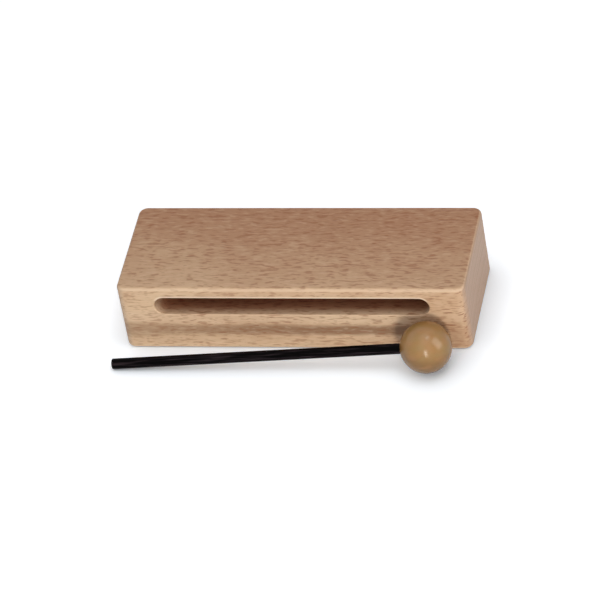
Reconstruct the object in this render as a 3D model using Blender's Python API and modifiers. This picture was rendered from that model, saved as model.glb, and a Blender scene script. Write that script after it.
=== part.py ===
"""A wood block and its mallet: one beech bar with two milled sound slots, and a ball-headed beater.

The origin is the middle of the block's bottom face. X runs along the block and its grain, -Y is the
front, where the upper slot opens, and +Z is up. All sizes are in metres.
"""

from math import asin, atan2, cos, hypot, pi, radians, sin

import bmesh
import bpy

# The block
BLOCK_LENGTH = 0.190
BLOCK_DEPTH = 0.0695
BLOCK_HEIGHT = 0.0415
CORNER_RADIUS = 0.005  # upright corners, as the outline is cut on the router
EDGE_RADIUS = 0.002  # the sanded edges round the top and the bottom

# The sound slots: one opens at the front, under the top, and the other at the back, over the bottom
PLATE_THICKNESS = 0.0065  # wood between a slot and the playing face beside it
WEB_THICKNESS = 0.0061  # wood between the two slots
SPINE_THICKNESS = 0.0175  # wood behind the floor of a slot
SLOT_END_WALL = 0.020  # wood from the end of a slot to the end of the block
MOUTH_RADIUS = 0.0006  # the broken edge round a slot's mouth, and the bit's corner at its floor

# The mallet
BALL_DIAMETER = 0.028
BALL_END_WALL = 0.006  # wood beyond the floor of the socket
SOCKET_CHAMFER = 0.0004
STICK_DIAMETER = 0.0058
STICK_LENGTH = 0.181
STICK_CHAMFER = 0.0004
GLUE_GAP = 0.0002  # between the stick and its socket, at the side and at the floor

# Where the mallet lies: on the surface that the block stands on, with its ball at the block's front face
REST_GAP = 0.0003
BALL_INSET = 0.0215  # from the block's right end to the middle of the ball
STICK_SWING = radians(0.8)  # seen from above, the stick's free end stands off this much from the block

# Fineness of the round surfaces
CORNER_STEPS = 6
EDGE_STEPS = 4
SLOT_END_STEPS = 14
MOUTH_STEPS = 2
BALL_RINGS = 22
BALL_STEPS = 44
STICK_STEPS = 28

# Modelling aids
SHARP_ANGLE = radians(60)  # an edge that turns by more than this still has to be rounded
CUTTER_OVERRUN = 0.005  # how far outside the block a cutter starts
WELD_DISTANCE = 0.00001

# Sizes that follow from the ones above
SLOT_HEIGHT = (BLOCK_HEIGHT - 2 * PLATE_THICKNESS - WEB_THICKNESS) / 2
SLOT_DEPTH = BLOCK_DEPTH - SPINE_THICKNESS
SLOT_LENGTH = BLOCK_LENGTH - 2 * SLOT_END_WALL
BALL_RADIUS = BALL_DIAMETER / 2
STICK_RADIUS = STICK_DIAMETER / 2
SOCKET_RADIUS = STICK_RADIUS + GLUE_GAP
SOCKET_FLOOR = BALL_END_WALL - BALL_RADIUS
STICK_START = SOCKET_FLOOR + GLUE_GAP
STICK_END = STICK_START + STICK_LENGTH

# Finishes: linear RGB colour and roughness
BEECH = ((0.52, 0.34, 0.20), 0.6)
VARNISHED_BALL = ((0.40, 0.22, 0.10), 0.35)
BLACK_ROD = ((0.012, 0.012, 0.013), 0.3)


def clear_scene():
    for obj in list(bpy.data.objects):
        bpy.data.objects.remove(obj, do_unlink=True)


def new_collection(name):
    collection = bpy.data.collections.new(name)
    bpy.context.scene.collection.children.link(collection)
    return collection


def new_material(name, finish):
    colour, roughness = finish
    material = bpy.data.materials.new(name)
    material.use_nodes = True
    shader = material.node_tree.nodes["Principled BSDF"]
    shader.inputs["Base Color"].default_value = (*colour, 1)
    shader.inputs["Roughness"].default_value = roughness
    shader.inputs["Metallic"].default_value = 0
    return material


def new_object(name, mesh, collection):
    obj = bpy.data.objects.new(name, mesh)
    collection.objects.link(obj)
    return obj


def block_blank(collection):
    """The bar before it is milled: a box with rounded upright corners, then smaller rounds on both rims."""
    bm = bmesh.new()
    bmesh.ops.create_cube(bm, size=1)
    bmesh.ops.scale(bm, vec=(BLOCK_LENGTH, BLOCK_DEPTH, BLOCK_HEIGHT), verts=bm.verts)
    bmesh.ops.translate(bm, vec=(0, 0, BLOCK_HEIGHT / 2), verts=bm.verts)
    upright = [e for e in bm.edges if e.verts[0].co.z != e.verts[1].co.z]
    bmesh.ops.bevel(
        bm, geom=upright, offset=CORNER_RADIUS, segments=CORNER_STEPS, profile=0.5, affect="EDGES"
    )
    rims = [e for e in bm.edges if e.calc_face_angle() > SHARP_ANGLE]
    bmesh.ops.bevel(
        bm, geom=rims, offset=EDGE_RADIUS, segments=EDGE_STEPS, profile=0.5, affect="EDGES"
    )
    mesh = bpy.data.meshes.new("block_body")
    bm.to_mesh(mesh)
    bm.free()
    return new_object("block_body", mesh, collection)


def slot_outline():
    """Points of a slot's mouth in its own plane: two half circles joined by straight runs."""
    radius = SLOT_HEIGHT / 2
    reach = SLOT_LENGTH / 2 - radius
    points = []
    for side, start in ((1, -pi / 2), (-1, pi / 2)):
        for step in range(SLOT_END_STEPS + 1):
            angle = start + pi * step / SLOT_END_STEPS
            points.append((side * reach + radius * cos(angle), radius * sin(angle)))
    return points


def slot_cutter(name, side, height, collection):
    """The bit's sweep, from outside the front (side -1) or back (side 1) face to the slot's floor."""
    outside = BLOCK_DEPTH / 2 + CUTTER_OVERRUN
    floor = BLOCK_DEPTH / 2 - SLOT_DEPTH
    curve = bpy.data.curves.new(name, "CURVE")
    curve.dimensions = "2D"
    curve.fill_mode = "BOTH"
    curve.extrude = (outside - floor) / 2
    points = slot_outline()
    spline = curve.splines.new("POLY")
    spline.points.add(len(points) - 1)
    for point, (x, y) in zip(spline.points, points):
        point.co = (x, y, 0, 1)
    spline.use_cyclic_u = True
    guide = new_object(name + "_outline", curve, collection)
    bpy.context.view_layer.update()
    mesh = bpy.data.meshes.new_from_object(
        guide.evaluated_get(bpy.context.evaluated_depsgraph_get())
    )
    bpy.data.objects.remove(guide, do_unlink=True)
    bm = bmesh.new()
    bm.from_mesh(mesh)
    bmesh.ops.remove_doubles(bm, verts=bm.verts, dist=WELD_DISTANCE)
    bmesh.ops.recalc_face_normals(bm, faces=bm.faces)
    bm.to_mesh(mesh)
    bm.free()
    cutter = new_object(name, mesh, collection)
    cutter.location = (0, side * (outside + floor) / 2, height)
    cutter.rotation_euler = (pi / 2, 0, 0)
    cutter.hide_render = True
    cutter.display_type = "WIRE"
    return cutter


def block_body(parts, cutters, material):
    """The finished block. Its two slots are the same cut, half a turn apart about the bar's long axis."""
    block = block_blank(parts)
    slot_middle = PLATE_THICKNESS + SLOT_HEIGHT / 2
    for name, side, height in (
        ("front_slot", -1, BLOCK_HEIGHT - slot_middle),
        ("back_slot", 1, slot_middle),
    ):
        cut = block.modifiers.new(name, "BOOLEAN")
        cut.operation = "DIFFERENCE"
        cut.object = slot_cutter(name + "_cutter", side, height, cutters)
    broken = block.modifiers.new("broken_edges", "BEVEL")
    broken.width = MOUTH_RADIUS
    broken.segments = MOUTH_STEPS
    broken.limit_method = "ANGLE"
    broken.angle_limit = SHARP_ANGLE
    broken.use_clamp_overlap = False
    block.data.materials.append(material)
    block.data.shade_smooth()
    keep_flats_flat(block)
    return block


def keep_flats_flat(obj):
    """Shades the rounds smooth without bending the light over the flat faces beside them."""
    shading = obj.modifiers.new("shading", "WEIGHTED_NORMAL")
    shading.mode = "FACE_AREA"


def turned_object(name, profile, steps, material, collection):
    """A piece turned about its own Z axis from points (radius, height), down its outer side."""
    mesh = bpy.data.meshes.new(name)
    edges = [(i, i + 1) for i in range(len(profile) - 1)]
    mesh.from_pydata([(radius, 0, height) for radius, height in profile], edges, [])
    obj = new_object(name, mesh, collection)
    screw = obj.modifiers.new("turning", "SCREW")
    screw.axis = "Z"
    screw.angle = 2 * pi
    screw.steps = steps
    screw.render_steps = steps
    screw.use_merge_vertices = True
    screw.merge_threshold = WELD_DISTANCE
    screw.use_smooth_shade = True
    mesh.materials.append(material)
    keep_flats_flat(obj)
    return obj


def mallet_head(collection, material):
    """The ball, with a blind socket along +Z: up the socket's wall, over its chamfer and down the ball."""
    mouth_radius = SOCKET_RADIUS + SOCKET_CHAMFER
    mouth_angle = asin(mouth_radius / BALL_RADIUS)
    mouth_height = BALL_RADIUS * cos(mouth_angle)
    profile = [
        (0, SOCKET_FLOOR),
        (SOCKET_RADIUS, SOCKET_FLOOR),
        (SOCKET_RADIUS, mouth_height - SOCKET_CHAMFER),
    ]
    for ring in range(BALL_RINGS):
        angle = mouth_angle + (pi - mouth_angle) * ring / BALL_RINGS
        profile.append((BALL_RADIUS * sin(angle), BALL_RADIUS * cos(angle)))
    profile.append((0, -BALL_RADIUS))
    return turned_object("mallet_head", profile, BALL_STEPS, material, collection)


def mallet_shaft(collection, material):
    """The stick, a plain rod with both ends chamfered. Its first part is glued into the ball."""
    rim = STICK_RADIUS - STICK_CHAMFER
    profile = [
        (0, STICK_END),
        (rim, STICK_END),
        (STICK_RADIUS, STICK_END - STICK_CHAMFER),
        (STICK_RADIUS, STICK_START + STICK_CHAMFER),
        (rim, STICK_START),
        (0, STICK_START),
    ]
    return turned_object("mallet_shaft", profile, STICK_STEPS, material, collection)


def resting_droop():
    """Angle below level at which the stick's free end touches the surface that its ball rests on."""
    foot = STICK_END - STICK_CHAMFER
    return asin(BALL_RADIUS / hypot(foot, STICK_RADIUS)) - atan2(STICK_RADIUS, foot)


def mallet(collection, ball_material, rod_material):
    """The ball and its stick, under an empty at the ball's middle, on the line it lifts along."""
    rest = bpy.data.objects.new("mallet_rest", None)
    collection.objects.link(rest)
    rest.location = (
        BLOCK_LENGTH / 2 - BALL_INSET,
        -(BLOCK_DEPTH / 2 + REST_GAP + BALL_RADIUS),
        BALL_RADIUS,
    )
    rest.rotation_euler = (0, -(pi / 2 + resting_droop()), STICK_SWING)
    mallet_head(collection, ball_material).parent = rest
    mallet_shaft(collection, rod_material).parent = rest


def main():
    clear_scene()
    parts = new_collection("wood_block")
    cutters = new_collection("cutters")
    block_body(parts, cutters, new_material("beech", BEECH))
    mallet(
        parts,
        new_material("varnished_ball", VARNISHED_BALL),
        new_material("black_rod", BLACK_ROD),
    )


main()
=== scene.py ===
"""The look of a beech wood block and its ball-headed mallet, in a plain white studio.

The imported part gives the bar's outer size and place. The bar, the ball and the stick are modelled again
here with a finer surface, to the sizes of the part's source, and get their wood, varnish and black
finish. Lengths are in metres, and inside the materials in millimetres.
"""

from math import asin, atan2, cos, hypot, pi, radians, sin

import bmesh
import bpy
from mathutils import Euler, Matrix, Vector

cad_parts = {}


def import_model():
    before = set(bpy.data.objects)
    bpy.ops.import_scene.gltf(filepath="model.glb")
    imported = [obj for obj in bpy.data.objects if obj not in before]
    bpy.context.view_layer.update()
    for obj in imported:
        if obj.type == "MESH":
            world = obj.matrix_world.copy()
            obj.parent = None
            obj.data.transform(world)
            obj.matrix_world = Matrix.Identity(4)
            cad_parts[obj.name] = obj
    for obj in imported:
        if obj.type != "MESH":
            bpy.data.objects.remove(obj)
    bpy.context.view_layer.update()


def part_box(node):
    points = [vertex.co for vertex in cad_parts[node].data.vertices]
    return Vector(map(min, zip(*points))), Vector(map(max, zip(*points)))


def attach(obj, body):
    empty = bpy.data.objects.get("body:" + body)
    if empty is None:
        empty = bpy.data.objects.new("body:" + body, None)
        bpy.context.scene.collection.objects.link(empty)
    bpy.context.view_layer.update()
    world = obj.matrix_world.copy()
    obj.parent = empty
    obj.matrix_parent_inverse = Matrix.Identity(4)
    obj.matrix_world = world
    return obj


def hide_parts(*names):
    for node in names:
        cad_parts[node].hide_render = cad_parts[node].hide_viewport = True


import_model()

MM = 0.001

# The camera, as the photograph was taken
CAMERA_PLACE = Vector((0.571417, -1.920120, 1.646507))
CAMERA_RIGHT = Vector((0.974962, 0.171365, -0.141714))
CAMERA_UP = Vector((-0.003575, 0.649286, 0.760536))
CAMERA_LENS = 287.39
SENSOR_WIDTH = 36
CLIP_START = 0.05
CLIP_END = 50

# The bar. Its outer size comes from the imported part
CORNER_RADIUS = 5.0 * MM
EDGE_RADIUS = 2.0 * MM
CORNER_STEPS = 16
EDGE_STEPS = 8

# The two milled slots
PLATE_THICKNESS = 6.5 * MM  # wood between a slot and the playing face beside it
WEB_THICKNESS = 6.1 * MM  # wood between the two slots
SPINE_THICKNESS = 17.5 * MM  # wood behind the floor of a slot
SLOT_END_WALL = 20.0 * MM  # wood from the end of a slot to the end of the bar
MOUTH_RADIUS = 0.6 * MM
SLOT_END_STEPS = 40
MOUTH_STEPS = 4
CUTTER_OVERRUN = 5.0 * MM  # how far outside the bar a cutter starts

# The mallet
BALL_RADIUS = 14.0 * MM
BALL_END_WALL = 6.0 * MM  # wood beyond the floor of the socket
SOCKET_ROUND = 0.4 * MM
STICK_RADIUS = 2.9 * MM
STICK_LENGTH = 181.0 * MM
STICK_ROUND = 0.4 * MM
GLUE_GAP = 0.2 * MM
BALL_RINGS = 72
BALL_STEPS = 144
STICK_STEPS = 72
SOCKET_ROUND_STEPS = 5
STICK_ROUND_STEPS = 4

# Where the mallet lies: on the floor, with its ball at the block's front face
REST_GAP = 0.3 * MM
BALL_INSET = 21.5 * MM  # from the block's right end to the middle of the ball
STICK_SWING = radians(0.8)  # seen from above, the stick's free end stands off this much from the block

WELD_DISTANCE = 0.01 * MM
SHARP_ANGLE = radians(60)

# The lamps, which all face AIM. A row is a lamp's name, azimuth, elevation, distance, width, height,
# watts, tint, and whether it lights the surfaces and whether it shows in their gloss
AIM = Vector((0.0, -0.02, 0.02))
LAMPS = (
    ("low_key", 22, 6, 1.6, 0.3, 0.45, 12.4, (0.985, 1.0, 0.965), True, False),
    ("low_glint", 12, 12, 1.6, 0.12, 0.65, 7.4, (1.0, 0.94, 0.86), False, True),
    ("key_softbox", 8, 38, 1.3, 1.6, 1.0, 3.4, (1.0, 1.0, 1.0), True, True),
    ("left_softbox", -95, 38, 1.6, 1.6, 1.2, 2.8, (0.99, 0.99, 1.0), True, True),
    ("right_softbox", 75, 25, 1.6, 0.4, 0.4, 2.7, (1.0, 0.99, 0.98), True, False),
    ("right_glow", 80, 27, 1.6, 0.8, 1.3, 12.0, (1.0, 0.99, 0.98), False, True),
    ("overhead_softbox", 30, 78, 1.6, 1.4, 1.4, 6.7, (1.0, 1.0, 1.0), True, True),
    ("overhead_patch", 65, 72, 1.6, 0.25, 0.25, 1.4, (1.0, 1.0, 1.0), True, True),
    ("back_softbox", 175, 50, 1.6, 2.0, 1.2, 2.2, (0.98, 0.98, 1.0), True, True),
)
LOW_LAMP = "low_key"

# The light from all round: its colour, and how strong it is on the surfaces
WORLD_COLOUR = (0.98, 0.98, 1.0, 1)
WORLD_LIGHT = 0.13

# The floor glows up to white where it is seen, and glows less close to the object: a painted contact shade,
# found by ambient occlusion
FLOOR_SIZE = 8.0
FLOOR_COLOUR = (0.74, 0.81, 0.89, 1)
FLOOR_ROUGHNESS = 0.9
FLOOR_GLOSS = 0.0
FLOOR_GLOW = (1.0, 0.965, 0.93, 1)
FLOOR_LIFT = 0.62  # strength of the glow
CONTACT_REACH = 0.022  # how far from the object the glow is less
CONTACT_LEAN = (-0.3, 0.2, 0.93)  # the way that the floor looks for the object
CONTACT_SAMPLES = 8

# The Mix node has sockets of several kinds, and these are the ones for colours
MIX_FIRST = 6
MIX_SECOND = 7
MIX_RESULT = 2


def new_object(name, data):
    obj = bpy.data.objects.new(name, data)
    bpy.context.scene.collection.objects.link(obj)
    return obj


def camera():
    data = bpy.data.cameras.new("photo_camera")
    data.lens = CAMERA_LENS
    data.sensor_width = SENSOR_WIDTH
    data.clip_start = CLIP_START
    data.clip_end = CLIP_END
    right = CAMERA_RIGHT.normalized()
    up = (CAMERA_UP - right * CAMERA_UP.dot(right)).normalized()
    turn = Matrix((right, up, right.cross(up))).transposed().to_4x4()
    obj = new_object("photo_camera", data)
    obj.matrix_world = Matrix.Translation(CAMERA_PLACE) @ turn
    bpy.context.scene.camera = obj


class Graph:
    """Adds nodes to a material and wires them, so that a finish reads as a few sums."""

    def __init__(self, tree):
        self.tree = tree

    def add(self, kind, inputs=None, **settings):
        node = self.tree.nodes.new("ShaderNode" + kind)
        for name, value in settings.items():
            setattr(node, name, value)
        for name, value in (inputs or {}).items():
            self.set(node.inputs[name], value)
        return node

    def set(self, socket, value):
        if isinstance(value, bpy.types.NodeSocket):
            self.tree.links.new(value, socket)
        else:
            socket.default_value = value

    def math(self, operation, *values):
        node = self.add("Math", operation=operation)
        for socket, value in zip(node.inputs, values):
            self.set(socket, value)
        return node.outputs[0]

    def plus(self, *values):
        total = values[0]
        for value in values[1:]:
            total = self.math("ADD", total, value)
        return total

    def times(self, *values):
        total = values[0]
        for value in values[1:]:
            total = self.math("MULTIPLY", total, value)
        return total

    def distance(self, across, up):
        """How far away something is that lies this far across and this far up."""
        return self.math("SQRT", self.plus(self.times(across, across), self.times(up, up)))

    def spread(self, value, low, high):
        """A value from 0 to 1 stretched to run from low to high."""
        return self.math("MULTIPLY_ADD", value, high - low, low)

    def weighted(self, values, weights):
        """The sum of the values, each times its own weight."""
        return self.plus(*(self.times(value, weight) for value, weight in zip(values, weights)))

    def parts(self, vector):
        node = self.add("SeparateXYZ", {0: vector})
        return node.outputs[0], node.outputs[1], node.outputs[2]

    def join(self, x, y, z):
        return self.add("CombineXYZ", {0: x, 1: y, 2: z}).outputs[0]

    def vector(self, operation, *values):
        node = self.add("VectorMath", operation=operation)
        for socket, value in zip(node.inputs, values):
            self.set(socket, value)
        return node.outputs[0]

    def dot(self, first, second):
        node = self.add("VectorMath", {0: first, 1: second}, operation="DOT_PRODUCT")
        return node.outputs["Value"]

    def fade(self, value, start, end):
        """0 before start and 1 after end, with a soft run between; start may be the larger."""
        node = self.add("MapRange", {"Value": value}, interpolation_type="SMOOTHSTEP")
        if start < end:
            bounds = (start, end, 0, 1)
        else:
            bounds = (end, start, 1, 0)
        for name, bound in zip(("From Min", "From Max", "To Min", "To Max"), bounds):
            node.inputs[name].default_value = bound
        return node.outputs["Result"]

    def noise(self, place, size, detail, seed, roughness=0.5, coloured=False):
        """Noise from 0 to 1 whose lumps measure size millimetres along X, Y and Z."""
        node = self.add(
            "TexNoise",
            {"Scale": 1.0, "Detail": detail, "Roughness": roughness},
            noise_dimensions="4D",
        )
        self.set(node.inputs["Vector"], self.vector("DIVIDE", place, size))
        self.set(node.inputs["W"], seed)
        return node.outputs["Color" if coloured else "Fac"]

    def mix(self, factor, first, second, mode="MIX"):
        node = self.add("Mix", data_type="RGBA", blend_type=mode, clamp_factor=True)
        self.set(node.inputs["Factor"], factor)
        self.set(node.inputs[MIX_FIRST], first)
        self.set(node.inputs[MIX_SECOND], second)
        return node.outputs[MIX_RESULT]

    def tint(self, tone, shade, *shares):
        """The tone moved towards a shade by the product of the shares, which run from 0 to 1."""
        return self.mix(self.times(*shares), tone, shade)

    def vary(self, tone, value, low, high):
        """The tone times low where the value is 0, and times high where it is 1."""
        factor = self.spread(value, low, high)
        return self.mix(1.0, tone, self.join(factor, factor, factor), mode="MULTIPLY")

    def seen(self):
        """1 for rays from the camera, off gloss or through glass, and 0 for those that gather light."""
        rays = self.add("LightPath").outputs
        straight_or_gloss = self.math("MAXIMUM", rays["Is Camera Ray"], rays["Is Glossy Ray"])
        return self.math("MAXIMUM", straight_or_gloss, rays["Is Transmission Ray"])


def new_material(name):
    material = bpy.data.materials.new(name)
    material.use_nodes = True
    graph = Graph(material.node_tree)
    return material, graph, material.node_tree.nodes["Principled BSDF"]


def finish(g, shader, tone, roughness, gloss):
    g.set(shader.inputs["Base Color"], tone)
    g.set(shader.inputs["Roughness"], roughness)
    g.set(shader.inputs["Specular IOR Level"], gloss)


def relief(g, shader, height, depth, strength=1.0):
    bump = g.add("Bump", {"Height": height, "Distance": depth, "Strength": strength})
    g.set(shader.inputs["Normal"], bump.outputs["Normal"])


def colour(red, green, blue):
    """A screen colour, from 0 to 255, turned by the sRGB curve to the linear one that a shader takes."""
    def linear(value):
        share = value / 255
        return share / 12.92 if share <= 0.04045 else ((share + 0.055) / 1.055) ** 2.4
    return (linear(red), linear(green), linear(blue), 1)


# Colours of the wood and of the rod
BEECH_PALE = colour(221, 186, 150)
BEECH_WARM = colour(212, 174, 139)
BEECH_BACK_TONE = colour(174, 124, 91)
BEECH_RING = colour(182, 140, 106)
# Colour of the painted shadow of the stick
STICK_SHADOW_TONE = colour(140, 102, 74)
BEECH_LIGHT = colour(232, 202, 170)
# Colour of the painted highlight on the slots' upper lips
BEECH_LIP_HIGHLIGHT = colour(240, 212, 182)
BEECH_FLECK = colour(147, 86, 54)
BEECH_END = colour(199, 163, 136)
BEECH_END_RING = colour(172, 134, 106)
BEECH_PORE = colour(138, 100, 76)
# Colour of the milled tone and painted shade in the slots
MILLED_SHADE_TONE = colour(188, 144, 124)
BALL_PALE = colour(162, 122, 73)
BALL_DARK = colour(134, 96, 50)
# Colour of the painted shade on the ball's underside
BALL_UNDER_SHADE = colour(98, 70, 40)
BALL_FLECK = colour(140, 100, 62)
BALL_WARM = colour(176, 122, 76)
BALL_GREEN = colour(152, 126, 76)
ROD_BLACK = colour(3, 2, 2)
ROD_GREY = colour(48, 39, 42)

# Sizes and places in the wood are in millimetres. A run is the pair of values between which a mark comes
# up from nothing, in its noise or in a distance, and an amount is how much of its colour it then shows

# The waves that move the grain: their size, detail and seed, and how far they move it along X, Y and Z,
# where their noise goes from 0 to 1 about its middle
NOISE_MIDDLE = (0.5, 0.5, 0.5)
SLOW_WAVES = ((75, 30, 30), 1, 3.0, (0, 2.6, 2.6))
QUICK_WAVES = ((9, 5, 5), 1.5, 4.0, (0, 3.2, 1.8))

# Flecks shaped like spindles: the share of cells with hardly any, how small and large the others are, and
# their soft edge
BARE_CELLS = 0.25
DASH_SIZES = (0.02, 1.15)
DASH_EDGE = (1.0, 0.45)

# The rings of the bar, about a pith that lay below it, and its darker tone towards the back
PITH_Y = 15.0
PITH_Z = -140.0
RING_DRIFT = 0.02  # change along the grain against change across it
RING_WIDTH = 1.5
RING_RUN = (0.5, 0.75)
RING_AMOUNT = 0.45
BLOTCH_SIZE = (45, 24, 16)
BLOTCH_RUN = (0.35, 0.65)
BACK_TONE_RUN = (-41.0, 35.0)
BACK_TONE_AMOUNT = 0.85
BACK_TONE_BLOTCHES = 20.0  # how far the blotches move its edge
BACK_TONE_BEND = -14.0  # how far its edge is moved to the back at the left end
BACK_TONE_BEND_RUN = (-10.0, -95.0)

# Painted shadow of the stick: a dark band low on the front, along a ring about the pith. Its distance from
# the pith, half its width, and how much wider it is at the left end. It grows stronger towards the ball and
# ends beside it. The runs below and above it are measured from its middle
STICK_SHADOW_RING = 160.9
STICK_SHADOW_HALF = 4.8
STICK_SHADOW_WIDER = 1.5
STICK_SHADOW_WIDER_RUN = (-45.0, -95.0)
STICK_SHADOW_EDGE = (1.0, 0.25)
STICK_SHADOW_AMOUNTS = (0.5, 0.85)
STICK_SHADOW_AMOUNT_RUN = (-95.0, 40.0)
STICK_SHADOW_END_RUN = (84.0, 60.0)
BELOW_RUNS = ((-2.0, -7.0), (-12.0, -5.0))
BELOW_END_RUN = (88.0, 50.0)
BELOW_AMOUNT = 0.14
ABOVE_RUNS = ((3.0, 6.5), (15.0, 10.0))
ABOVE_AMOUNT = 0.3

# Painted shade beside the ball: a darker, redder foot of the bar at its right end, along the bar and down it
FOOT_SHADE_RUN = (50.0, 92.0)
FOOT_SHADE_DOWN_RUN = (30.0, 12.0)
FOOT_SHADE_AMOUNT = 0.75

# Ripples, flecks, fine flecks and fibres. A pair of amounts is for the top, bottom and ends, and then for
# the front and back
RIPPLE_SIZE = (6.5, 1.5, 1.3)
RIPPLE_LIGHT_RUN = (0.54, 0.66)
RIPPLE_LIGHT_AMOUNT = 0.2
RIPPLE_DARK_RUN = (0.47, 0.34)
RIPPLE_DARK_AMOUNTS = (0.48, 0.38)
FLECK_CELL = (9.5, 1.5, 1.5)
FLECK_RADIUS = 0.42
FLECK_AMOUNTS = (0.46, 0.55)
FINE_CELL = (3.6, 1.0, 0.9)
FINE_RADIUS = 0.4
FINE_SHIFT = (31.0, 7.0, 3.0)
FINE_AMOUNT = 0.3
FIBRE_SIZE = (30, 0.45, 0.45)
FIBRE_TONES = (0.92, 1.08)

# Areas that are busy with flecks, most of all towards the right end: the flecks' strength outside and
# inside them, and what the right end adds to it
BUSY_SIZE = (30, 12, 9)
BUSY_SLOPE = 0.0008
BUSY_RUN = (0.4, 0.6)
BUSY_STRENGTHS = (0.35, 1.0)
BUSY_END_RUN = (60.0, 85.0)
BUSY_END_STRENGTH = 0.25

# How far a surface turns to the front or back, to an end, and on a rounded edge up or down and sideways, as
# shares of its normal. The rounded edges get a painted highlight, weaker round a slot's mouth. The end grain
# shows only near the bar's ends
FRONT_RUN = (0.3, 0.8)
END_RUN = (0.6, 0.9)
END_ZONE_RUN = (82.0, 88.0)
ROUND_UP_RUN = (0.05, 0.3)
ROUND_SIDE_RUN = (0.3, 0.7)
EDGE_HIGHLIGHT_AMOUNT = 0.5
EDGE_HIGHLIGHT_AT_SLOT = 0.2  # what is left of it round a slot's mouth

# End grain: rings, rays and pores
END_RING_RUN = (0.42, 0.7)
END_RING_AMOUNT = 0.75
RAY_SIZE = (3, 0.4, 7)
RAY_TONES = (0.89, 1.11)
PORE_CELL = (6.0, 1.0, 1.0)
PORE_RADIUS = 0.34
PORE_SHIFT = (5.0, 3.0, 9.0)
PORE_AMOUNT = 0.3

# The milled tone of the slots and the painted shade deeper in them: how far beyond half their height it
# fades out, and how it comes up into their depth in two steps. It is weaker on walls that face along the
# bar, and ends before the far face
MILLED_SHADE_EDGE = (0.6, 0.1)
MILLED_SHADE_RUNS = ((1.0, 7.0), (6.0, 14.0))
MILLED_SHADE_AMOUNTS = (0.82, 0.18)
MILLED_SHADE_ON_ENDS = 0.55
FAR_FACE_GAPS = (1.0, 2.0)

# The edge round a slot's mouth, beyond half its height and into its depth, and the painted highlight on its
# upper lip, which starts at a share of half the height
LIP_RUN = (1.6, 0.9)
LIP_HIGHLIGHT_START = 0.5

# Roughness and relief of the bar, with the shares of fibres, ripples, flecks and fine flecks in it
BEECH_ROUGHNESS = 0.46
FLECK_ROUGHNESS = 0.08
MILLED_ROUGHNESS = 0.15
FIBRE_ROUGHNESS = 0.06
BEECH_GLOSS = 0.27
RELIEF_SHARES = (0.35, 0.9, -0.8, -0.5)
BEECH_RELIEF = 0.11 * MM


def in_millimetres(g):
    scaled = g.add("VectorMath", {0: g.add("TexCoord").outputs["Object"]}, operation="SCALE")
    scaled.inputs["Scale"].default_value = 1 / MM
    return scaled.outputs[0]


def wave(g, place, size, detail, seed, reach):
    noise = g.noise(place, size, detail, seed, coloured=True)
    return g.vector("MULTIPLY", g.vector("SUBTRACT", noise, NOISE_MIDDLE), reach)


def wandering(g, place):
    """The place moved a little across the grain, so that lines along the grain run in slow waves."""
    moved = g.vector("ADD", wave(g, place, *SLOW_WAVES), wave(g, place, *QUICK_WAVES))
    return g.vector("ADD", place, moved)


def dashes(g, grain, cell, radius):
    """1 inside spindle-shaped flecks, about one to a cell of that many millimetres, and 0 between them."""
    cells = g.add(
        "TexVoronoi",
        {"Vector": g.vector("DIVIDE", grain, cell), "Scale": 1.0, "Randomness": 1.0},
        voronoi_dimensions="3D",
    )
    chance = g.parts(cells.outputs["Color"])[0]
    edge = g.times(radius, g.spread(g.fade(chance, BARE_CELLS, 1.0), *DASH_SIZES))
    return g.fade(g.math("DIVIDE", cells.outputs["Distance"], edge), *DASH_EDGE)


def ring_noise(g, x, ring, width, detail, seed, roughness=0.5):
    """Noise in shells about the pith, which changes slowly along the grain."""
    place = g.join(g.times(x, RING_DRIFT), 0.0, ring)
    return g.noise(place, (1, 1, width), detail, seed, roughness)


def blotches_and_back_tone(g, place, x, y):
    """Pale and warmer blotches, and a darker tone towards the back, with less of it at the left end."""
    blotches = g.noise(place, BLOTCH_SIZE, detail=1.5, seed=2.0)
    tone = g.mix(g.fade(blotches, *BLOTCH_RUN), BEECH_PALE, BEECH_WARM)
    bend = g.times(g.fade(x, *BACK_TONE_BEND_RUN), BACK_TONE_BEND)
    toward_back = g.plus(y, g.times(blotches, BACK_TONE_BLOTCHES), bend)
    return g.tint(tone, BEECH_BACK_TONE, g.fade(toward_back, *BACK_TONE_RUN), BACK_TONE_AMOUNT)


def painted_shadows_on_front(g, tone, x, z, ring):
    """The painted shadow of the stick as a dark band, the wood just below and above it, and painted shade
    beside the ball as a darker foot of the right end.
    """
    def beside(start, end):
        return g.fade(ring, STICK_SHADOW_RING + start, STICK_SHADOW_RING + end)

    half = g.spread(g.fade(x, *STICK_SHADOW_WIDER_RUN), STICK_SHADOW_HALF, STICK_SHADOW_WIDER * STICK_SHADOW_HALF)
    off_middle = g.math("ABSOLUTE", g.plus(ring, -STICK_SHADOW_RING))
    stick_shadow = g.fade(g.math("DIVIDE", off_middle, half), *STICK_SHADOW_EDGE)
    amount = g.spread(g.fade(x, *STICK_SHADOW_AMOUNT_RUN), *STICK_SHADOW_AMOUNTS)
    # Painted shadow of the stick, stronger towards the ball
    tone = g.tint(tone, STICK_SHADOW_TONE, stick_shadow, amount, g.fade(x, *STICK_SHADOW_END_RUN))

    start, end = (beside(*run) for run in BELOW_RUNS)
    tone = g.tint(tone, BEECH_RING, start, g.fade(x, *BELOW_END_RUN), end, BELOW_AMOUNT)
    start, end = (beside(*run) for run in ABOVE_RUNS)
    tone = g.tint(tone, BEECH_LIGHT, start, end, ABOVE_AMOUNT)
    # Painted shade beside the ball, as a darker foot at the right end
    return g.tint(tone, BEECH_RING, g.fade(x, *FOOT_SHADE_RUN), g.fade(z, *FOOT_SHADE_DOWN_RUN), FOOT_SHADE_AMOUNT)


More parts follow.
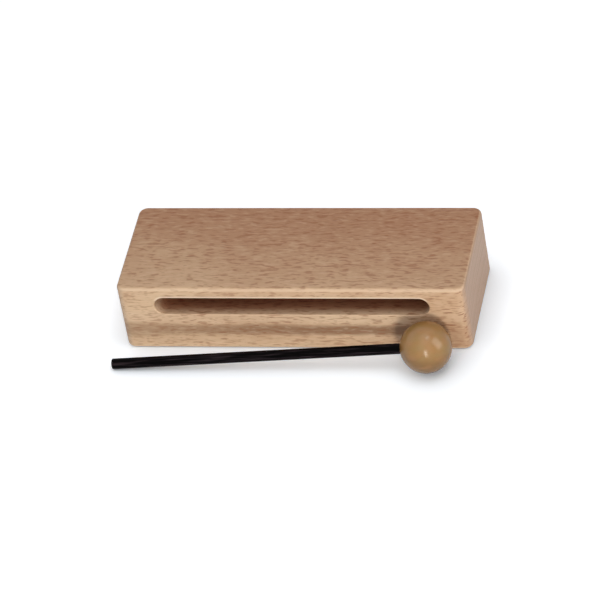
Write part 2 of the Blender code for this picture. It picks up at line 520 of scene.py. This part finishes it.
def ray_flecks(g, place, grain, x):
    """1 inside the brown flecks of the rays, which crowd in some areas and towards the right end."""
    busy = g.plus(g.noise(place, BUSY_SIZE, detail=1, seed=14.0), g.times(x, BUSY_SLOPE))
    busy = g.spread(g.fade(busy, *BUSY_RUN), *BUSY_STRENGTHS)
    busy = g.plus(busy, g.times(g.fade(x, *BUSY_END_RUN), BUSY_END_STRENGTH))
    return g.times(dashes(g, grain, FLECK_CELL, FLECK_RADIUS), busy)


def end_grain(g, place, rings):
    """The tone of the two sawn ends: rings, fine rays and pores."""
    tone = g.tint(BEECH_END, BEECH_END_RING, g.fade(rings, *END_RING_RUN), END_RING_AMOUNT)
    pores = dashes(g, g.vector("ADD", place, PORE_SHIFT), PORE_CELL, PORE_RADIUS)
    tone = g.tint(tone, BEECH_PORE, pores, PORE_AMOUNT)
    rays = g.noise(place, RAY_SIZE, detail=2, seed=12.0)
    return g.vary(tone, rays, *RAY_TONES)


def slot_sizes(size):
    """Half the height of a slot, and how far from the bar's middle its half-round ends start.

    The two slots share the height that the two plates and the web leave.
    """
    radius = (size.z - 2 * PLATE_THICKNESS - WEB_THICKNESS) / 4
    return radius, size.x / 2 - SLOT_END_WALL - radius


def slot_level(size, side, radius):
    """The height of the middle of the front slot (side -1) or the back one (side 1)."""
    return size.z / 2 - side * (size.z / 2 - PLATE_THICKNESS - radius)


def round_slots(g, place):
    """Three values from 0 to 1: the milled tone and painted shade in a slot, the edge of its mouth, and the
    painted highlight on the upper run of that edge.
    """
    x, y, z = g.parts(place)
    low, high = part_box("block_body")
    size = high - low
    radius, reach = slot_sizes(size)
    half, depth_of_bar = radius / MM, size.y / MM
    past_end = g.math("MAXIMUM", g.plus(g.math("ABSOLUTE", x), -reach / MM), 0.0)
    inside = rim = lip_highlight = 0.0
    for side in (-1, 1):
        up = g.plus(z, -slot_level(size, side, radius) / MM)
        away = g.plus(g.distance(past_end, up), -half)
        depth = g.plus(depth_of_bar / 2, g.times(y, -side))
        # Painted shade that grows deeper into the slot
        deep = g.weighted([g.fade(depth, *run) for run in MILLED_SHADE_RUNS], MILLED_SHADE_AMOUNTS)
        before_far_face = g.fade(depth, *(depth_of_bar - gap for gap in FAR_FACE_GAPS))
        milled_and_shade = g.times(g.fade(away, *MILLED_SHADE_EDGE), deep, before_far_face)
        edge = g.times(g.fade(away, *LIP_RUN), g.fade(depth, *LIP_RUN))
        # Painted highlight on the upper run of the mouth's edge
        lip = g.times(edge, g.fade(up, half * LIP_HIGHLIGHT_START, half))
        inside = g.math("MAXIMUM", inside, milled_and_shade)
        rim = g.math("MAXIMUM", rim, edge)
        lip_highlight = g.math("MAXIMUM", lip_highlight, lip)
    return inside, rim, lip_highlight


def beech():
    """Sanded beech: growth rings about a far-off pith, wavy ripples and brown ray flecks along the grain."""
    material, g, shader = new_material("beech_finish")
    place = in_millimetres(g)
    grain = wandering(g, place)
    x, y, z = g.parts(grain)
    facing = g.parts(g.vector("ABSOLUTE", g.add("TexCoord").outputs["Normal"]))
    front = g.fade(facing[1], *FRONT_RUN)
    end_wall = g.fade(facing[0], *END_RUN)

    ring = g.distance(g.plus(y, -PITH_Y), g.plus(z, -PITH_Z))
    rings = ring_noise(g, x, ring, RING_WIDTH, detail=3, seed=5.0, roughness=0.6)
    tone = blotches_and_back_tone(g, place, x, y)
    tone = g.tint(tone, BEECH_RING, g.fade(rings, *RING_RUN), RING_AMOUNT)
    # Painted shadows of the stick and the ball, laid into the wood's colour
    tone = painted_shadows_on_front(g, tone, x, z, ring)

    ripples = g.noise(grain, RIPPLE_SIZE, detail=1.2, seed=7.0, roughness=0.6)
    flecks = ray_flecks(g, place, grain, x)
    fine = dashes(g, g.vector("ADD", grain, FINE_SHIFT), FINE_CELL, FINE_RADIUS)
    fibres = g.noise(grain, FIBRE_SIZE, detail=3, seed=9.0, roughness=0.6)
    tone = g.tint(tone, BEECH_LIGHT, g.fade(ripples, *RIPPLE_LIGHT_RUN), RIPPLE_LIGHT_AMOUNT)
    veins = g.spread(front, *RIPPLE_DARK_AMOUNTS)
    tone = g.tint(tone, BEECH_FLECK, g.fade(ripples, *RIPPLE_DARK_RUN), veins)
    tone = g.tint(tone, BEECH_FLECK, fine, FINE_AMOUNT)
    tone = g.tint(tone, BEECH_FLECK, flecks, g.spread(front, *FLECK_AMOUNTS))
    tone = g.vary(tone, fibres, *FIBRE_TONES)

    milled_and_shade, rim, lip_highlight = round_slots(g, place)
    # Painted highlight on the rounded edges, by which way they face
    side = g.math("MAXIMUM", facing[1], facing[0])
    edge_highlight = g.times(g.fade(facing[2], *ROUND_UP_RUN), g.fade(side, *ROUND_SIDE_RUN))
    tone = g.tint(tone, BEECH_LIGHT, edge_highlight, g.spread(rim, 1.0, EDGE_HIGHLIGHT_AT_SLOT), EDGE_HIGHLIGHT_AMOUNT)
    # Painted highlight on the upper lip of each slot's mouth
    tone = g.tint(tone, BEECH_LIP_HIGHLIGHT, lip_highlight)
    on_an_end = g.fade(g.math("ABSOLUTE", x), *END_ZONE_RUN)
    tone = g.tint(tone, end_grain(g, place, rings), end_wall, on_an_end)
    # Milled tone and painted shade, darker deeper into the slots
    milled_and_shade = g.times(milled_and_shade, g.spread(end_wall, 1.0, MILLED_SHADE_ON_ENDS))
    tone = g.tint(tone, g.mix(1.0, tone, MILLED_SHADE_TONE, mode="MULTIPLY"), milled_and_shade)

    marks = (flecks, milled_and_shade, fibres)
    rougher = g.weighted(marks, (FLECK_ROUGHNESS, MILLED_ROUGHNESS, FIBRE_ROUGHNESS))
    finish(g, shader, tone, g.plus(BEECH_ROUGHNESS, rougher), BEECH_GLOSS)
    height = g.weighted((fibres, ripples, flecks, fine), RELIEF_SHARES)
    relief(g, shader, height, BEECH_RELIEF)
    return material


# The ball. Its rings lie about a pith above it and a little in front, and its lower side is darker, with
# painted shade on its underside
BALL_PITH_UP = 70.0
BALL_PITH_BACK = -20.0
BALL_RING_SLANT = 0.15  # how much the rings close in along the stick
BALL_RING_WIDTH = 4.0
BALL_RING_SWAY = 8.0  # how far their noise moves the start of the dark wood
BALL_DARK_RUN = (67.0, 78.0)
BALL_UNDER_SHADE_RUN = (74.0, 84.0)
BALL_UNDER_SHADE_AMOUNT = 0.7
PATCH_SIZE = (9, 4.5, 4.5)
PATCH_WARM_RUN = (0.48, 0.66)
PATCH_GREEN_RUN = (0.5, 0.34)
PATCH_AMOUNT = 0.3
BALL_FLECK_CELL = (3.5, 0.8, 0.8)
BALL_FLECK_RADIUS = 0.34
BALL_FLECK_AMOUNT = 0.26
BALL_FIBRE_SIZE = (18, 0.6, 0.6)
BALL_FIBRE_TONES = (0.96, 1.04)
VARNISH_ROUGHNESS = 0.19
VARNISH_GLOSS = 0.36

# The rod and its streaks
STREAK_SIZE = (22, 0.9, 0.9)
STREAK_RUN = (0.44, 0.7)
STREAK_ROUGHNESS = 0.2
STREAK_RELIEF = 0.1 * MM
STREAK_STRENGTH = 0.8
ROD_ROUGHNESS = 0.14
ROD_GLOSS = 0.025


def along_mallet(g, place):
    """Millimetres from the ball's middle: along the stick, up, and towards the block."""
    across = g.vector("SUBTRACT", in_millimetres(g), place.translation / MM)
    up, back, along = (Vector(column[:3]) for column in place.transposed()[:3])
    return g.join(g.dot(across, along), g.dot(across, up), g.dot(across, back))


def varnished_ball(resting_place):
    """The same kind of wood, stained brown under a satin varnish."""
    material, g, shader = new_material("ball_finish")
    grain = wandering(g, along_mallet(g, resting_place))
    x, y, z = g.parts(grain)
    ring = g.distance(g.plus(y, -BALL_PITH_UP), g.plus(z, -BALL_PITH_BACK))
    ring = g.plus(ring, g.times(x, BALL_RING_SLANT))
    rings = ring_noise(g, x, ring, BALL_RING_WIDTH, detail=1.5, seed=21.0)
    shells = g.plus(ring, g.times(rings, BALL_RING_SWAY))
    tone = g.mix(g.fade(shells, *BALL_DARK_RUN), BALL_PALE, BALL_DARK)
    patches = g.noise(grain, PATCH_SIZE, detail=1.5, seed=24.0)
    tone = g.tint(tone, BALL_WARM, g.fade(patches, *PATCH_WARM_RUN), PATCH_AMOUNT)
    tone = g.tint(tone, BALL_GREEN, g.fade(patches, *PATCH_GREEN_RUN), PATCH_AMOUNT)
    # Painted shade on the ball's underside
    tone = g.tint(tone, BALL_UNDER_SHADE, g.fade(ring, *BALL_UNDER_SHADE_RUN), BALL_UNDER_SHADE_AMOUNT)
    fine = dashes(g, grain, BALL_FLECK_CELL, BALL_FLECK_RADIUS)
    tone = g.tint(tone, BALL_FLECK, fine, BALL_FLECK_AMOUNT)
    fibres = g.noise(grain, BALL_FIBRE_SIZE, detail=3, seed=23.0)
    tone = g.vary(tone, fibres, *BALL_FIBRE_TONES)
    roughness = g.plus(VARNISH_ROUGHNESS, g.times(fibres, FIBRE_ROUGHNESS))
    finish(g, shader, tone, roughness, VARNISH_GLOSS)
    return material


def black_rod(resting_place):
    """Black rod with faint lengthways streaks from its fibres."""
    material, g, shader = new_material("rod_finish")
    place = along_mallet(g, resting_place)
    streaks = g.noise(place, STREAK_SIZE, detail=2.5, seed=31.0, roughness=0.6)
    tone = g.mix(g.fade(streaks, *STREAK_RUN), ROD_BLACK, ROD_GREY)
    roughness = g.plus(ROD_ROUGHNESS, g.times(streaks, STREAK_ROUGHNESS))
    finish(g, shader, tone, roughness, ROD_GLOSS)
    relief(g, shader, streaks, STREAK_RELIEF, STREAK_STRENGTH)
    return material


def made_from(bm, name):
    mesh = bpy.data.meshes.new(name)
    bm.to_mesh(mesh)
    bm.free()
    return new_object(name, mesh)


def block_blank():
    """The bar before it is milled: rounded upright corners, then smaller rounds on both rims."""
    low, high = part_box("block_body")
    size = high - low
    bm = bmesh.new()
    bmesh.ops.create_cube(bm, size=1)
    bmesh.ops.scale(bm, vec=size, verts=bm.verts)
    bmesh.ops.translate(bm, vec=(low + high) / 2, verts=bm.verts)
    upright = [e for e in bm.edges if abs(e.verts[0].co.z - e.verts[1].co.z) > size.z / 2]
    bmesh.ops.bevel(
        bm, geom=upright, offset=CORNER_RADIUS, segments=CORNER_STEPS, profile=0.5, affect="EDGES"
    )
    rims = [e for e in bm.edges if e.calc_face_angle() > SHARP_ANGLE]
    bmesh.ops.bevel(
        bm, geom=rims, offset=EDGE_RADIUS, segments=EDGE_STEPS, profile=0.5, affect="EDGES"
    )
    return made_from(bm, "block"), size


def slot_cutter(name, size, side):
    """The sweep of the bit that mills the front slot (side -1) or the back one (side 1)."""
    radius, reach = slot_sizes(size)
    level = slot_level(size, side, radius)
    outside = size.y / 2 + CUTTER_OVERRUN
    floor = SPINE_THICKNESS - size.y / 2
    bm = bmesh.new()
    ring = []
    for end, start in ((1, -pi / 2), (-1, pi / 2)):
        for step in range(SLOT_END_STEPS + 1):
            angle = start + pi * step / SLOT_END_STEPS
            place = (end * reach + radius * cos(angle), side * outside, level + radius * sin(angle))
            ring.append(bm.verts.new(place))
    mouth = bm.faces.new(ring)
    deep = bmesh.ops.extrude_face_region(bm, geom=[mouth])
    moved = [v for v in deep["geom"] if isinstance(v, bmesh.types.BMVert)]
    bmesh.ops.translate(bm, vec=(0, side * (floor - outside), 0), verts=moved)
    bmesh.ops.recalc_face_normals(bm, faces=bm.faces)
    return made_from(bm, name)


def finished(obj):
    """Applies the object's modifiers, so that it holds its final mesh."""
    bpy.context.view_layer.update()
    mesh = bpy.data.meshes.new_from_object(obj.evaluated_get(bpy.context.evaluated_depsgraph_get()))
    obj.modifiers.clear()
    obj.data = mesh


def smooth_round_flats(obj):
    """Shades the rounds smooth without bending the light over the flat faces beside them."""
    obj.data.shade_smooth()
    shading = obj.modifiers.new("shading", "WEIGHTED_NORMAL")
    shading.mode = "FACE_AREA"
    shading.keep_sharp = True


def block(material):
    obj, size = block_blank()
    cutters = [slot_cutter("slot_cutter", size, side) for side in (-1, 1)]
    for cutter in cutters:
        cut = obj.modifiers.new("slot", "BOOLEAN")
        cut.object = cutter
        cut.operation = "DIFFERENCE"
    broken = obj.modifiers.new("broken_edges", "BEVEL")
    broken.width = MOUTH_RADIUS
    broken.segments = MOUTH_STEPS
    broken.limit_method = "ANGLE"
    broken.angle_limit = SHARP_ANGLE
    broken.use_clamp_overlap = False
    finished(obj)
    for cutter in cutters:
        bpy.data.objects.remove(cutter, do_unlink=True)
    smooth_round_flats(obj)
    obj.data.materials.append(material)
    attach(obj, "block")
    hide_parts("block_body")


def turned(name, profile, steps, material):
    """A piece turned about its own Z axis from points (radius, height), down its outer side."""
    mesh = bpy.data.meshes.new(name)
    edges = [(i, i + 1) for i in range(len(profile) - 1)]
    mesh.from_pydata([(radius, 0, height) for radius, height in profile], edges, [])
    obj = new_object(name, mesh)
    screw = obj.modifiers.new("turning", "SCREW")
    screw.axis = "Z"
    screw.angle = 2 * pi
    screw.steps = steps
    screw.render_steps = steps
    screw.use_merge_vertices = True
    screw.merge_threshold = WELD_DISTANCE
    screw.use_smooth_shade = True
    finished(obj)
    obj.data.materials.append(material)
    smooth_round_flats(obj)
    return obj


def arc(centre, radius, start, end, steps):
    """Points of a rounded edge, as (radius, height) pairs, from one angle to another."""
    points = []
    for step in range(steps + 1):
        angle = start + (end - start) * step / steps
        points.append((centre[0] + radius * cos(angle), centre[1] + radius * sin(angle)))
    return points


def ball(place, material):
    """The ball, from the socket's floor up its wall, over its rounded mouth and down the outside."""
    socket_radius = STICK_RADIUS + GLUE_GAP
    socket_floor = BALL_END_WALL - BALL_RADIUS
    mouth_angle = asin((socket_radius + SOCKET_ROUND) / BALL_RADIUS)
    mouth_height = BALL_RADIUS * cos(mouth_angle)
    mouth_centre = (socket_radius + SOCKET_ROUND, mouth_height - SOCKET_ROUND)
    profile = [(0, socket_floor), (socket_radius, socket_floor)]
    profile += arc(mouth_centre, SOCKET_ROUND, pi, pi / 2, SOCKET_ROUND_STEPS)
    for ring in range(1, BALL_RINGS):
        angle = mouth_angle + (pi - mouth_angle) * ring / BALL_RINGS
        profile.append((BALL_RADIUS * sin(angle), BALL_RADIUS * cos(angle)))
    profile.append((0, -BALL_RADIUS))
    obj = turned("ball", profile, BALL_STEPS, material)
    obj.data.transform(place)
    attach(obj, "mallet")
    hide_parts("mallet_head")


def stick(place, material):
    """The stick. The low lamp's shadows leave it out, so that it draws no slanting line on the block."""
    start = BALL_END_WALL - BALL_RADIUS + GLUE_GAP
    end = start + STICK_LENGTH
    rim = STICK_RADIUS - STICK_ROUND
    profile = [(0, end)]
    profile += arc((rim, end - STICK_ROUND), STICK_ROUND, pi / 2, 0, STICK_ROUND_STEPS)
    profile += arc((rim, start + STICK_ROUND), STICK_ROUND, 0, -pi / 2, STICK_ROUND_STEPS)
    profile.append((0, start))
    obj = turned("stick", profile, STICK_STEPS, material)
    obj.data.transform(place)
    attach(obj, "mallet")
    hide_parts("mallet_shaft")
    unshaded = bpy.data.collections.new("no_low_shadow")
    unshaded.objects.link(obj)
    unshaded.collection_objects[0].light_linking.link_state = "EXCLUDE"
    bpy.data.objects[LOW_LAMP].light_linking.blocker_collection = unshaded


def mallet_matrix():
    """Where the mallet lies: the ball's middle, with Z along the stick, whose end droops to the floor."""
    low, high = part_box("block_body")
    centre = Vector((high.x - BALL_INSET, low.y - REST_GAP - BALL_RADIUS, BALL_RADIUS))
    foot = BALL_END_WALL - BALL_RADIUS + GLUE_GAP + STICK_LENGTH - STICK_ROUND
    droop = asin(BALL_RADIUS / hypot(foot, STICK_RADIUS)) - atan2(STICK_RADIUS, foot)
    turn = Euler((0, -(pi / 2 + droop), STICK_SWING)).to_matrix().to_4x4()
    return Matrix.Translation(centre) @ turn


def stage():
    bm = bmesh.new()
    bmesh.ops.create_grid(bm, x_segments=1, y_segments=1, size=FLOOR_SIZE / 2)
    floor = made_from(bm, "floor")
    material, g, shader = new_material("floor_white")
    finish(g, shader, FLOOR_COLOUR, FLOOR_ROUGHNESS, FLOOR_GLOSS)
    # Painted contact shade: the glow dims where ambient occlusion finds the object near
    contact = g.add(
        "AmbientOcclusion",
        {"Distance": CONTACT_REACH, "Normal": g.join(*CONTACT_LEAN)},
        samples=CONTACT_SAMPLES,
    )
    g.set(shader.inputs["Emission Color"], FLOOR_GLOW)
    g.set(shader.inputs["Emission Strength"], g.times(g.seen(), contact.outputs["AO"], FLOOR_LIFT))
    floor.data.materials.append(material)


def world():
    """Soft white light from all round, and plain white where the camera sees it."""
    data = bpy.data.worlds.new("studio")
    bpy.context.scene.world = data
    data.use_nodes = True
    g = Graph(data.node_tree)
    background = data.node_tree.nodes["Background"]
    g.set(background.inputs["Color"], WORLD_COLOUR)
    g.set(background.inputs["Strength"], g.plus(WORLD_LIGHT, g.times(g.seen(), 1.0 - WORLD_LIGHT)))


def softbox(name, azimuth, elevation, distance, width, height, watts, tint, lights, shows):
    """An area lamp that faces AIM. Azimuth 0 is in front of the object and 90 to its right, in degrees."""
    a, e = radians(azimuth), radians(elevation)
    away = Vector((sin(a) * cos(e), -cos(a) * cos(e), sin(e)))
    data = bpy.data.lights.new(name, "AREA")
    data.shape = "RECTANGLE"
    data.size = width
    data.size_y = height
    data.energy = watts
    data.color = tint
    lamp = new_object(name, data)
    lamp.visible_camera = False
    lamp.visible_diffuse = lights
    lamp.visible_glossy = shows
    turn = away.to_track_quat("Z", "Y").to_matrix().to_4x4()
    lamp.matrix_world = Matrix.Translation(AIM + away * distance) @ turn


camera()
stage()
world()
for lamp in LAMPS:
    softbox(*lamp)
block(beech())
mallet_place = mallet_matrix()
ball(mallet_place, varnished_ball(mallet_place))
stick(mallet_place, black_rod(mallet_place))
bpy.context.scene.view_settings.view_transform = "Standard"
